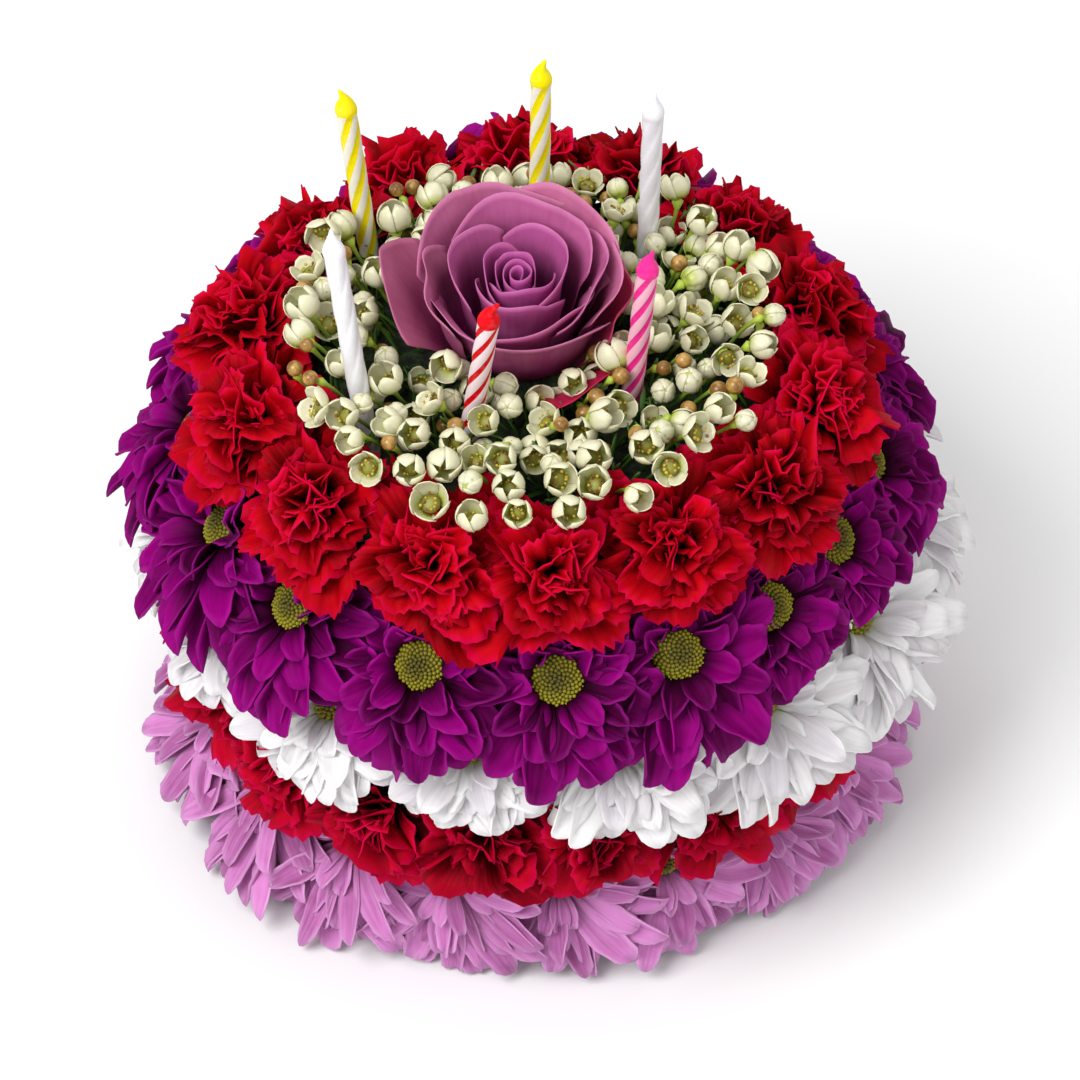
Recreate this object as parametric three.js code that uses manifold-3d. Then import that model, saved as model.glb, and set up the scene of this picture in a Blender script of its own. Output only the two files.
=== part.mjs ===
// A floral birthday cake: fresh flowers pinned in rings round a block of floral foam so that they look
// like an iced cake, with waxflowers and a rose on top and six twisted birthday candles.
// Millimetres, +Z up, with -Y in front. The origin is the centre of the foam block's flat base.
import * as THREE from "three";
import { mergeVertices } from "three/addons/utils/BufferGeometryUtils.js";
import Module from "manifold-3d";

const wasm = await Module();
wasm.setup();

// Driving dimensions
const GAP = 0.3; // air between two pieces that touch
const FOAM_RADIUS = 58;
const FOAM_HEIGHT = 126;
const FOAM_TOP_RADIUS = 50; // the top edge is cut off at a slant
const FOAM_SLANT_FOOT = 114;
const FLOOR_CLEARANCE = 0.6; // the lowest petals end just above what the foam rests on
const WELL_RADIUS = 51; // inside the top carnations, where the waxflowers, rose and candles stand
const CANDLE_RADIUS = 2.5;

const TURN = 2 * Math.PI;
const degrees = THREE.MathUtils.degToRad;
const lerp = THREE.MathUtils.lerp;
const random = seededRandom(7);

const colour = {
  foam: 0x2f4a22,
  lavender: 0xc77fcf,
  crimson: 0xb5001e,
  scarlet: 0xc40a16,
  white: 0xf1f0ec,
  purple: 0x8a0f8c,
  rose: 0xa862ad,
  waxflower: 0xdfe6c4,
  yellowWax: 0xf2e21a,
  whiteWax: 0xf1f0f4,
  pinkWax: 0xff5fa8,
  redWax: 0xe0242b,
};

// The rings of flowers, from the base up. The middle of a flower's face has a radius, a height and a tip, the
// angle by which the face turns up from facing outwards, each given in front and at the sides and back.
// lap is the slope at which a flower's right side rises over the left side of the next one. The flowers of a
// fused ring press into each other and become one solid.
const rings = {
  lavender: {
    azimuths: spaced([4.4], 14), shiftX: 0, radius: [74.5, 80], height: [24.5, 24], tip: [12, 47],
    reach: 28, disc: 5, cup: [8, 4.5], lap: 0.02, droop: 0, fused: true, petals: 10,
  },
  lowerCarnation: {
    azimuths: spaced([-8], 14), shiftX: 0, radius: [71.5, 72.5], height: [48, 47], tip: [14, 16],
    reach: 19, cup: [14, 7.5], lap: 0, droop: 0, fused: true,
  },
  white: {
    azimuths: spaced([13], 14), shiftX: 2.5, radius: [78, 83], height: [80, 79], tip: [27, 40],
    reach: 28, disc: 5, cup: [8, 4.5], lap: 0.15, droop: 1, petals: 12,
  },
  purple: {
    azimuths: spaced([-66, -44.5, -19.4, 4, 25.2, 43.5, 62, 81], 16), shiftX: 0, radius: [77.5, 79],
    height: [106, 109], tip: [40, 48], reach: 29, disc: 6.5, cup: [8, 4.5], lap: 0.15, droop: 3, petals: 12,
  },
  topCarnation: {
    azimuths: spaced([-46, -19, 3.5, 28, 52, 76], 14), shiftX: 0, radius: [64, 64.5], height: [128, 129],
    tip: [48, 50], reach: 19, cup: [14, 7.5], lap: 0, droop: 0,
  },
};
rings.lavender.above = rings.lowerCarnation;
rings.lowerCarnation.above = rings.white;
rings.white.above = rings.purple;
rings.purple.above = rings.topCarnation;

// Candles lean a little, so each is given by the point where it leaves the waxflowers and its tip.
const CANDLE_LEVEL = 140;
const candles = [
  { name: "candle_yellow_left", colour: colour.yellowWax, x: -39, y: 29, tip: [-43.5, 29, 189.5] },
  { name: "candle_yellow_back", colour: colour.yellowWax, x: 1.5, y: 38, tip: [2, 38.5, 190] },
  { name: "candle_white_right", colour: colour.whiteWax, x: 27, y: 27.5, tip: [27.8, 27.5, 190] },
  { name: "candle_white_left", colour: colour.whiteWax, x: -38.5, y: -28.5, tip: [-45, -20, 193] },
  { name: "candle_pink", colour: colour.pinkWax, x: 23, y: -18, tip: [26.3, -19, 185] },
  { name: "candle_red", colour: colour.redWax, x: -13.8, y: -28, tip: [-9, -33.5, 183] },
];

// Numbers from 0 to 1 that come out the same each time.
function seededRandom(seed) {
  let state = seed;
  return () => {
    state = (state * 1664525 + 1013904223) % 4294967296;
    return state / 4294967296;
  };
}

const vary = (middle, share) => middle * (1 + share * (2 * random() - 1));

// Azimuths round a ring in degrees, 0 in front and 90 on the right: those given, then the rest evenly.
function spaced(given, count) {
  const last = given[given.length - 1];
  const step = (given[0] + 360 - last) / (count - given.length + 1);
  const rest = Array.from({ length: count - given.length }, (_, k) => last + (k + 1) * step);
  return [...given, ...rest];
}

// Corners gathered for a skin: loops of their indices are joined by fans and bands of triangles. Seen from
// the first end of a skin the loops run anticlockwise, and a band may join loops of different counts.
function newSkin() {
  const corners = [];
  const triangles = [];
  const add = (points) => points.map((point) => corners.push(point) - 1);
  const fan = (centre, loop) =>
    loop.forEach((corner, k) => triangles.push(centre, corner, loop[(k + 1) % loop.length]));
  const band = (inner, outer) => {
    let [i, j] = [0, 0];
    while (i < inner.length || j < outer.length) {
      const innerIsNearer = (i + 1) / inner.length <= (j + 1) / outer.length;
      const onInner = j === outer.length || (i < inner.length && innerIsNearer);
      const [here, there] = [inner[i % inner.length], outer[j % outer.length]];
      triangles.push(here, there, onInner ? inner[++i % inner.length] : outer[++j % outer.length]);
    }
  };
  const geometry = () => new THREE.BufferGeometry().setFromPoints(corners).setIndex(triangles);
  return { add, fan, band, geometry };
}

// A closed skin over loops of corners, from a point at one end to a point at the other.
function skinned(first, loops, last) {
  const skin = newSkin();
  const [top, foot] = skin.add([first, last]);
  const levels = loops.map(skin.add);
  skin.fan(top, levels[0]);
  levels.slice(1).forEach((level, k) => skin.band(levels[k], level));
  skin.fan(foot, levels[levels.length - 1].toReversed());
  return skin.geometry();
}

// A loop of corners from a count and a function of each corner's angle and place in the loop.
const loopOf = (count, corner, start = 0) =>
  Array.from({ length: count }, (_, k) => corner(start + (k / count) * TURN, k));

// The same geometry with only positions, its shared corners merged and its collapsed triangles left out.
function welded(geometry) {
  geometry.deleteAttribute("normal");
  geometry.deleteAttribute("uv");
  const merged = mergeVertices(geometry, 1e-4);
  const corners = merged.index.array;
  const kept = [];
  for (let k = 0; k < corners.length; k += 3) {
    const [a, b, c] = corners.slice(k, k + 3);
    if (a !== b && b !== c && c !== a) kept.push(a, b, c);
  }
  return merged.setIndex(kept);
}

// A solid turned round Z from [radius, height] points that go from its foot to its top.
function turned(profile, sides) {
  const points = profile.map(([radius, height]) => new THREE.Vector2(radius, height));
  return welded(new THREE.LatheGeometry(points, sides).rotateX(Math.PI / 2));
}

const toSolid = (geometry) =>
  new wasm.Manifold(
    new wasm.Mesh({
      numProp: 3,
      vertProperties: geometry.getAttribute("position").array,
      triVerts: new Uint32Array(geometry.index.array),
    }),
  );

function toGeometry(solid) {
  const mesh = solid.getMesh();
  return new THREE.BufferGeometry()
    .setAttribute("position", new THREE.BufferAttribute(mesh.vertProperties, 3))
    .setIndex(new THREE.BufferAttribute(mesh.triVerts, 1));
}

// The main body of a solid, without the scraps that a join or cut leaves.
const mainBody = (solid) =>
  solid.decompose().reduce((largest, next) => (next.volume() > largest.volume() ? next : largest));
const fuse = (geometries) => mainBody(geometries.map(toSolid).reduce((whole, next) => whole.add(next)));
const cutFrom = (solid, tools) =>
  mainBody(tools.map(toSolid).reduce((rest, next) => rest.subtract(next), solid));

function piece(name, geometry, hex, roughness) {
  const material = new THREE.MeshStandardMaterial({ color: hex, roughness, metalness: 0, flatShading: true });
  const mesh = new THREE.Mesh(geometry, material);
  mesh.name = name;
  return mesh;
}

// The foam block
function foamBlock() {
  const side = [[FOAM_RADIUS, 0], [FOAM_RADIUS, FOAM_SLANT_FOOT], [FOAM_TOP_RADIUS, FOAM_HEIGHT]];
  return turned([[0, 0], ...side, [0, FOAM_HEIGHT]], 28);
}

// How far outside the foam's surface a point is, less than 0 inside.
function clearOfFoam(point) {
  const radius = Math.hypot(point.x, point.y);
  const slantRun = FOAM_RADIUS - FOAM_TOP_RADIUS;
  const slantRise = FOAM_HEIGHT - FOAM_SLANT_FOOT;
  const pastSlant = (radius - FOAM_RADIUS) * slantRise + (point.z - FOAM_SLANT_FOOT) * slantRun;
  return Math.max(radius - FOAM_RADIUS, point.z - FOAM_HEIGHT, pastSlant / Math.hypot(slantRun, slantRise));
}

// Places in the rings

// The middle of a face at an azimuth in a ring.
function seatAt(ring, azimuth) {
  const side = Math.cos(azimuth) > 0 ? Math.sin(azimuth) ** 2 : 1;
  return {
    radius: lerp(ring.radius[0], ring.radius[1], side),
    height: lerp(ring.height[0], ring.height[1], side),
    tip: degrees(lerp(ring.tip[0], ring.tip[1], side)),
  };
}

// A point of a flower: along the ring from its azimuth, up the slope of its face and out from the face.
function onRing(ring, azimuth, along, up, out) {
  const own = seatAt(ring, azimuth);
  const angle = along / (own.radius - up * Math.sin(own.tip) + out * Math.cos(own.tip));
  const seat = seatAt(ring, azimuth + angle);
  const droop = ring.droop * Math.min(0, up / ring.reach) ** 2;
  const lifted = out + ring.lap * own.radius * angle - droop;
  const radius = seat.radius - up * Math.sin(seat.tip) + lifted * Math.cos(seat.tip);
  const height = seat.height + up * Math.cos(seat.tip) + lifted * Math.sin(seat.tip);
  const [sine, cosine] = [Math.sin(azimuth + angle), Math.cos(azimuth + angle)];
  return new THREE.Vector3(ring.shiftX + radius * sine, -radius * cosine, height);
}

// How far a stem runs back from the face before it meets the foam.
function stemLength(ring, azimuth) {
  let length = 5;
  while (clearOfFoam(onRing(ring, azimuth, 0, 0, -length)) > GAP + 0.3) length += 0.25;
  return length;
}

// The height that the ring below must stay under, from the lower side of a ring's stems, cups and petals.
function underside(ring, point) {
  const x = point.x - ring.shiftX;
  const azimuth = Math.atan2(x, -point.y);
  const outwards = Math.hypot(x, point.y);
  const section = [
    onRing(ring, azimuth, 0, 0, -stemLength(ring, azimuth)),
    onRing(ring, azimuth, 0, -ring.cup[0], -ring.cup[1]),
    onRing(ring, azimuth, 0, -ring.reach, ring.disc ? -4 : 0.5),
  ].map((corner) => [Math.hypot(corner.x - ring.shiftX, corner.y), corner.z]);
  const [from, to] = outwards < section[1][0] ? section : section.slice(1);
  return lerp(from[1], to[1], Math.min(1, (outwards - from[0]) / (to[0] - from[0])));
}

// Whether a point may be filled by one of a ring's flowers.
function isFree(ring, azimuth, along, up, out) {
  const point = onRing(ring, azimuth, along, up, out);
  if (point.z < FLOOR_CLEARANCE || clearOfFoam(point) < GAP) return false;
  if (!ring.above) return Math.hypot(point.x, point.y) > WELL_RADIUS + GAP;
  return point.z < underside(ring.above, point) - 0.8;
}

// The azimuths of the flowers on both sides of one in a ring, measured from it.
function neighbours(ring, index) {
  const { azimuths } = ring;
  const count = azimuths.length;
  const before = azimuths[(index + count - 1) % count] - azimuths[index];
  const after = azimuths[(index + 1) % count] - azimuths[index];
  return [degrees(((before - 360) % 360)), degrees((after + 360) % 360)];
}

// Flowers

// How long a petal can be: it ends short of the discs beside it, the foam and the ring above.
function petalLength(ring, index, angle, wanted) {
  const azimuth = degrees(ring.azimuths[index]);
  const beside = ring.fused ? [] : neighbours(ring, index);
  for (let length = wanted; length > ring.disc + 2; length -= 0.5) {
    const [along, up] = [length * Math.cos(angle), length * Math.sin(angle)];
    const radius = ring.radius[0] - up * Math.sin(degrees(ring.tip[0]));
    const clear = beside.every((turn) => Math.hypot(along - turn * radius, up) > ring.disc + 2.2);
    if (clear && isFree(ring, azimuth, along, up, 0.6)) return length;
  }
  return ring.disc + 2;
}

// A daisy chrysanthemum: ridged petals round a domed disc, tapering behind into a cup and stem.
function daisy(ring, index) {
  const { petals } = ring;
  const azimuth = degrees(ring.azimuths[index]);
  const put = (radius, angle, out) =>
    onRing(ring, azimuth, radius * Math.cos(angle), radius * Math.sin(angle), out);
  const step = TURN / petals;
  const spin = random() * step;
  const angles = Array.from({ length: petals }, (_, k) => spin + (k + 0.3 * (random() - 0.5)) * step);
  const lengths = angles.map((angle) => petalLength(ring, index, angle, vary(ring.reach * 0.95, 0.05)));
  const grooves = angles.map((angle, k) => (angle + (k ? angles[k - 1] : angles[petals - 1] - TURN)) / 2);

  const skin = newSkin();
  const rim = skin.add(grooves.map((angle) => put(ring.disc, angle, -0.3)));
  const edge = skin.add(
    angles.flatMap((angle, k) => {
      const shoulder = (turn, share, out) =>
        put(petalLength(ring, index, angle + turn, share * lengths[k]), angle + turn, out);
      const notch = 0.68 * Math.min(lengths[k], lengths[(k + petals - 1) % petals]);
      return [
        put(Math.max(ring.disc + 1, notch), grooves[k], -0.8),
        shoulder(-0.24 * step, 0.93, -0.3),
        shoulder(0.16 * step, 1, 0.2),
      ];
    }),
  );
  const [disc, foot] = skin.add([put(0, 0, 3), put(0, 0, -stemLength(ring, azimuth))]);
  skin.fan(disc, rim);
  angles.forEach((angle, k) => {
    const [ridge] = skin.add([put(lerp(ring.disc, lengths[k], 0.4), angle, 1.7)]);
    const next = (k + 1) % petals;
    skin.fan(ridge, [rim[k], edge[3 * k], edge[3 * k + 1], edge[3 * k + 2], edge[3 * next], rim[next]]);
  });
  const back = skin.add(loopOf(6, (angle) => put(6.2, angle, -2.2), grooves[0]));
  skin.band(edge, back);
  skin.fan(foot, back.toReversed());
  return skin.geometry();
}

// A carnation: frilled tiers heaped into a dome over a green cup and stem. Each tier is a count of corners,
// a radius and a height, and every other corner of a frill is pulled in and down.
const CARNATION_TIERS = [
  [5, 4.6, 13, 1.1],
  [5, 7.8, 9.6, 0],
  [12, 12, 10.4, 1.3],
  [7, 14.6, 5.6, 0],
  [16, 18, 3, 1.6],
];

function carnation(ring, index) {
  const azimuth = degrees(ring.azimuths[index]);
  const [before, after] = neighbours(ring, index);
  const pressed = ring.fused ? -1.5 : GAP;
  const spin = random() * TURN;
  const put = (size, angle, out) =>
    onRing(ring, azimuth, size * Math.cos(angle), size * Math.sin(angle), out);
  const clear = (size, angle, out) => {
    const [along, up] = [size * Math.cos(angle), size * Math.sin(angle)];
    const tip = degrees(ring.tip[0]);
    const own = ring.radius[0] - up * Math.sin(tip) + out * Math.cos(tip);
    const inside = along < (after / 2) * own - pressed && along > (before / 2) * own + pressed;
    return inside && isFree(ring, azimuth, along, up, out);
  };
  // How wide a tier can be: it ends short of the flowers beside it, and inside the tier below it.
  const reach = (level, angle) => {
    const [, radius, height] = CARNATION_TIERS[level];
    let size = radius;
    while (size > 3 && !clear(size, angle, height)) size -= 0.3;
    const below = CARNATION_TIERS[level + 1];
    return below ? Math.min(size, (reach(level + 1, angle) * radius) / below[1]) : size;
  };
  const tiers = CARNATION_TIERS.map(([count, radius, height, frill], level) =>
    loopOf(count, (angle, k) => {
      const pull = k % 2 ? -frill : frill;
      const out = vary(height, 0.05) + pull * 0.8;
      let size = reach(level, angle) * (1 + pull / radius) * vary(0.98, 0.02);
      while (size > 2 && !clear(size, angle, out)) size -= 0.2;
      return put(size, angle, out);
    }, spin),
  );
  const hem = tiers.length - 1;
  const cup = loopOf(7, (angle) => put(0.72 * reach(hem, angle), angle, 0.5 - ring.cup[1]), spin);
  return skinned(put(0, 0, 10.5), [...tiers, cup], put(0, 0, -stemLength(ring, azimuth)));
}

const daisies = (ring) => ring.azimuths.map((_, index) => daisy(ring, index));
const carnations = (ring) => ring.azimuths.map((_, index) => carnation(ring, index));
const pieces = (label, blooms, hex) =>
  blooms.map((bloom, index) => piece(`${label}_${String(index + 1).padStart(2, "0")}`, bloom, hex, 0.6));

// The rose: curved petals lapping round a cup, tight in the middle and rolled back outside
const ROSE_AXIS = new THREE.Vector3(-2, 2, FOAM_HEIGHT + GAP + 1);
const ROSE_ROUNDS = [
  { petals: 2, radius: 3.6, height: 39, spread: 230, roll: 0.3, start: 20, lap: 0.3 },
  { petals: 3, radius: 8.6, height: 39, spread: 160, roll: 1.2, start: 10, lap: 0.17 },
  { petals: 3, radius: 14, height: 38, spread: 150, roll: 2.6, start: 75, lap: 0.13 },
  { petals: 5, radius: 20, height: 34.5, spread: 96, roll: 4.8, start: 20, lap: 0.09 },
];

function rosePetal({ radius, height, spread, roll, lap }, facing) {
  const thickness = Math.min(1.5, 0.6 + radius * 0.07);
  const section = (share) => {
    const angle = facing + (share * degrees(spread)) / 2;
    const out = radius * (1 + lap * share);
    const crest = height - 0.16 * radius * share ** 2;
    const [cosine, sine] = [Math.cos(angle), Math.sin(angle)];
    const at = (distance, level) => new THREE.Vector3(distance * cosine, distance * sine, level);
    const neck = roll > 2 ? [at(out + 0.4, crest - 5)] : [];
    return [at(out - thickness, crest - 2), at(out + roll, crest - 0.4), ...neck, at(out - 1, 16)];
  };
  const end = (share) => {
    const [inner, outer] = section(share);
    return inner.clone().lerp(outer, 0.5).setZ(0.5 * height + 6);
  };
  return skinned(end(1), [0.75, 0.25, -0.25, -0.75].map(section), end(-1));
}

const onRoseAxis = (geometry) =>
  geometry.rotateX(degrees(5)).translate(ROSE_AXIS.x, ROSE_AXIS.y, ROSE_AXIS.z);

function rose() {
  const cup = turned([[0, 0], [10, 0], [18, 10], [21, 19], [4, 33], [0, 33]], 9);
  const petals = ROSE_ROUNDS.flatMap((round) =>
    loopOf(round.petals, (angle) => rosePetal(round, angle), degrees(round.start)),
  );
  return onRoseAxis(toGeometry(fuse([cup, ...petals])));
}

// A twisted candle: a three-cornered fluted bar whose last stretch narrows to the waxed wick
function candleLine({ x, y, tip }) {
  const top = new THREE.Vector3(...tip);
  const leaving = new THREE.Vector3(x, y, CANDLE_LEVEL);
  const direction = top.clone().sub(leaving).normalize();
  const standing = FOAM_HEIGHT + GAP + CANDLE_RADIUS * Math.hypot(direction.x, direction.y);
  const foot = leaving.clone().addScaledVector(direction, (standing - CANDLE_LEVEL) / direction.z);
  return { foot, direction, length: foot.distanceTo(top) };
}

function candle(spec) {
  const { foot, direction, length } = candleLine(spec);
  const shoulder = length - 9.5;
  const twist = TURN / 75;
  const ringAt = (radius, height, flute) =>
    loopOf(6, (angle, k) => {
      const out = k % 2 ? radius * flute : radius;
      const turn = angle + height * twist;
      return new THREE.Vector3(out * Math.cos(turn), out * Math.sin(turn), height);
    });
  const steps = 6;
  const levels = Array.from({ length: steps + 1 }, (_, k) => shoulder * (1 - k / steps));
  const bar = levels.map((level) => ringAt(CANDLE_RADIUS, level, 0.82));
  const geometry = skinned(
    new THREE.Vector3(0, 0, length),
    [ringAt(0.75, length - 2.5, 1), ringAt(1.3, length - 6, 1), ...bar],
    new THREE.Vector3(0, 0, 0),
  );
  const whole = piece(spec.name, geometry, spec.colour, 0.45);
  whole.position.copy(foot);
  whole.quaternion.setFromUnitVectors(new THREE.Vector3(0, 0, 1), direction);
  return whole;
}

// The waxflowers: a mound of stems round the rose, with open flowers, buds and brown berries fused on
const MOUND = { radius: 50.4, foot: FOAM_HEIGHT + GAP, crown: 137 };
const WAX_PIECES = 80;

// A small solid with a rim of corners, a point above or sunk below the rim, and a foot.
function sprig(sides, radius, rim, middle, foot) {
  const corner = (angle) => new THREE.Vector3(radius * Math.cos(angle), radius * Math.sin(angle), rim);
  return skinned(new THREE.Vector3(0, 0, middle), [loopOf(sides, corner)], new THREE.Vector3(0, 0, foot));
}

const openFlower = () => sprig(5, 4.5, 3, 0.8, -9);
const bud = () => sprig(4, 3, 2, 5, -9);
const berry = () => sprig(4, 2.3, 1, 3.4, -8);

function waxflowerHeap() {
  const { radius: outer, foot, crown } = MOUND;
  const middle = 36;
  const shoulder = [outer - 1, crown - 4];
  const heap = [turned([[0, foot], [outer, foot], shoulder, [middle, crown], [16, crown], [0, crown]], 20)];
  for (let index = 0; index < WAX_PIECES; index++) {
    const radius = Math.sqrt(lerp(24 ** 2, (outer - 2) ** 2, (index + 0.5) / WAX_PIECES));
    const turn = index * TURN * 0.381966;
    const [x, y] = [radius * Math.cos(turn), radius * Math.sin(turn)];
    if (candles.some((spec) => Math.hypot(spec.x - x, spec.y - y) < CANDLE_RADIUS + 3.4)) continue;
    const make = [openFlower, openFlower, bud, openFlower, berry][index % 5];
    const rise = vary(3.2, 0.6) - Math.max(0, (3 * (radius - middle)) / (outer - middle));
    const lean = degrees(vary(16, 0.8)) * Math.sign(radius - middle + 2);
    const bloom = make().rotateZ(random() * TURN).rotateY(lean);
    heap.push(bloom.translate(radius, 0, crown + rise).rotateZ(turn));
  }
  const aroundRose = [[11.2, -3], [11.2, 0], [19.4, 10], [23, 19], [27.5, 29], [27.5, 45]];
  const roseRoom = turned([[0, -3], ...aroundRose, [0, 45]], 16);
  const bores = candles.map((spec) => {
    const { foot: start, direction, length } = candleLine(spec);
    const hole = CANDLE_RADIUS + GAP + 0.1;
    const bore = welded(new THREE.CylinderGeometry(hole, hole, 2 * length, 10));
    bore.applyQuaternion(new THREE.Quaternion().setFromUnitVectors(new THREE.Vector3(0, 1, 0), direction));
    return bore.translate(start.x, start.y, start.z);
  });
  return toGeometry(cutFrom(fuse(heap), [onRoseAxis(roseRoom), ...bores]));
}

const cake = new THREE.Group();
cake.add(
  piece("foam_core", foamBlock(), colour.foam, 0.95),
  piece("lavender_daisy_ring", toGeometry(fuse(daisies(rings.lavender))), colour.lavender, 0.6),
  piece("lower_carnation_ring", toGeometry(fuse(carnations(rings.lowerCarnation))), colour.crimson, 0.6),
  ...pieces("white_daisy", daisies(rings.white), colour.white),
  ...pieces("purple_daisy", daisies(rings.purple), colour.purple),
  ...pieces("top_carnation", carnations(rings.topCarnation), colour.scarlet),
  piece("waxflower_heap", waxflowerHeap(), colour.waxflower, 0.5),
  piece("rose", rose(), colour.rose, 0.55),
  ...candles.map(candle),
);

export default cake;
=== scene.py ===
"""A floral birthday cake: fresh flowers pinned in rings round a block of floral foam, with waxflowers, a
rose and six twisted candles on top. Metres, +Z up, -Y in front. Flowers are shaped in millimetres."""
import math
import random

import bmesh
import bpy
from mathutils import Matrix, Vector


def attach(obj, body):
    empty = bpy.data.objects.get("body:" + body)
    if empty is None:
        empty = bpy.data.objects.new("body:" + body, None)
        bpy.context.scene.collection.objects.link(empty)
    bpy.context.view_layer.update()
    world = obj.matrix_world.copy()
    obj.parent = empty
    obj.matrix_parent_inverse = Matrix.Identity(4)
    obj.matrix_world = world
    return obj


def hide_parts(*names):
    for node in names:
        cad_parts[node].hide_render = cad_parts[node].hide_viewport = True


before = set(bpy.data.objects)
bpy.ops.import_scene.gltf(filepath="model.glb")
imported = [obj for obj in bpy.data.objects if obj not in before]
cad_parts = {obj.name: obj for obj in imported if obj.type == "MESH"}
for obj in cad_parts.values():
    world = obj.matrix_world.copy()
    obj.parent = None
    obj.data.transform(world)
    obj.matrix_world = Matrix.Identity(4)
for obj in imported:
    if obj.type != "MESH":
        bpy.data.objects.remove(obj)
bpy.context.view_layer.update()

# ----------------------------------------------------------------------------------
# Foam block: a block of wet floral foam, cut round and cut off at a slant round its top edge, that
# every stem is pushed into. Only slits of it show, dark green and pitted, between the flowers.


class Wire:
    """A node's output in a material. Arithmetic on it adds Math nodes, node() any other node."""

    def __init__(self, tree, socket=None):
        self.tree, self.socket = tree, socket

    def node(self, kind, inputs=None, stops=None, **settings):
        made = self.tree.nodes.new("ShaderNode" + kind)
        for name, value in settings.items():
            setattr(made, name, value)
        for place, colour in stops or ():
            ramp = made.color_ramp.elements
            stop = ramp[0] if place == 0 else ramp[-1] if place == 1 else ramp.new(place)
            stop.color = (*colour, 1)
        for name, value in (inputs or {}).items():
            if isinstance(value, Wire):
                self.tree.links.new(value.socket, made.inputs[name])
            else:
                made.inputs[name].default_value = value
        return Wire(self.tree, made.outputs[0])

    def output(self, name):
        return Wire(self.tree, self.socket.node.outputs[name])

    def maths(self, operation, *values):
        return self.node("Math", dict(enumerate(values)), operation=operation)

    def __add__(self, other):
        return self.maths("ADD", self, other)

    def __mul__(self, other):
        return self.maths("MULTIPLY", self, other)

    def __sub__(self, other):
        return self.maths("SUBTRACT", self, other)

    def __rsub__(self, other):
        return self.maths("SUBTRACT", other, self)

    def __pow__(self, other):
        return self.maths("POWER", self, other)

    def between(self, low, high):
        """0 where this is under low and 1 over high."""
        return self.node("MapRange", {0: self, 1: low, 2: high}, interpolation_type="SMOOTHSTEP")

    def blend(self, low, high):
        """The colour low where this is 0 and high where it is 1."""
        colours = [c if isinstance(c, Wire) else (*c, 1) for c in (low, high)]
        return self.node("Mix", {0: self, 6: colours[0], 7: colours[1]}, data_type="RGBA").output(2)

    def noise(self, scale, detail=2, where=None):
        """Noise over the piece, or over other coordinates where these are given."""
        where = where or self.node("TexCoord").output("Object")
        return self.node("TexNoise", {"Vector": where, "Scale": scale, "Detail": detail})

    def streaks(self, across, far, shade, count):
        """Noise drawn out along a petal, in about count streaks that differ from petal to petal."""
        return self.noise(1, 3, self.node("CombineXYZ", {0: across * count, 1: far, 2: shade * 40}))

    def petal(self):
        """How far across and along its petal a point lies, from 0 to 1, and the petal's own shade."""
        across = self.node("SeparateXYZ", {0: self.node("UVMap")})
        return across, across.output(1), self.shade()

    def shade(self):
        """The shade that a petal or a part of a flower has in its mesh."""
        return self.node("Attribute", attribute_name="shade").output("Fac")

    def bump(self, height, distance, strength=0.6):
        return self.node("Bump", {"Height": height, "Distance": distance, "Strength": strength})


def new_finish(name, paint, **constants):
    """A material whose paint(wires) gives what changes over the surface, by the shader's socket."""
    finish = bpy.data.materials.new(name)
    finish.use_nodes = True
    tree = finish.node_tree
    shader = tree.nodes["Principled BSDF"]
    for socket, value in constants.items():
        shader.inputs[socket.replace("_", " ")].default_value = value
    for socket, wire in paint(Wire(tree)).items():
        tree.links.new(wire.socket, shader.inputs[socket])
    return finish


def paint_foam(wires):
    pits = wires.noise(900, 3)
    damp = wires.noise(60)
    colour = damp.between(0.35, 0.7).blend((0.012, 0.03, 0.008), (0.03, 0.075, 0.018))
    return {"Base Color": colour, "Normal": wires.bump(pits, 0.0006)}


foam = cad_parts["foam_core"]
foam.data.materials.clear()
foam.data.materials.append(new_finish("wet_floral_foam", paint_foam, Roughness=0.9))

# ----------------------------------------------------------------------------------
# Lavender daisies: spray chrysanthemums with long, narrow, grooved petals round a small green disc.
# Their stems go into the foot of the foam, and their petals fan down to what the cake stands on.

MM = 0.001
TURN = 2 * math.pi
GOLDEN_ANGLE = 2.39996
FLOOR_BEND, FLOOR_GAP = 4, 0.6  # mm over the floor where petals start to bend out, and how near they get
MOST_LIFT = 80  # degrees
chance = random.Random(5)


def lerp(low, high, share):
    return low + (high - low) * share


def smooth(low, high, value):
    share = min(1, max(0, (value - low) / (high - low)))
    return share * share * (3 - 2 * share)


def vary(middle, share):
    return middle * (1 + share * chance.uniform(-1, 1))


def spaced(given, count):
    """Azimuths round a ring in degrees, 0 in front and 90 on the right: those given, the rest evenly."""
    step = (given[0] + 360 - given[-1]) / (count - len(given) + 1)
    return [*given, *(given[-1] + (k + 1) * step for k in range(count - len(given)))]


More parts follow.
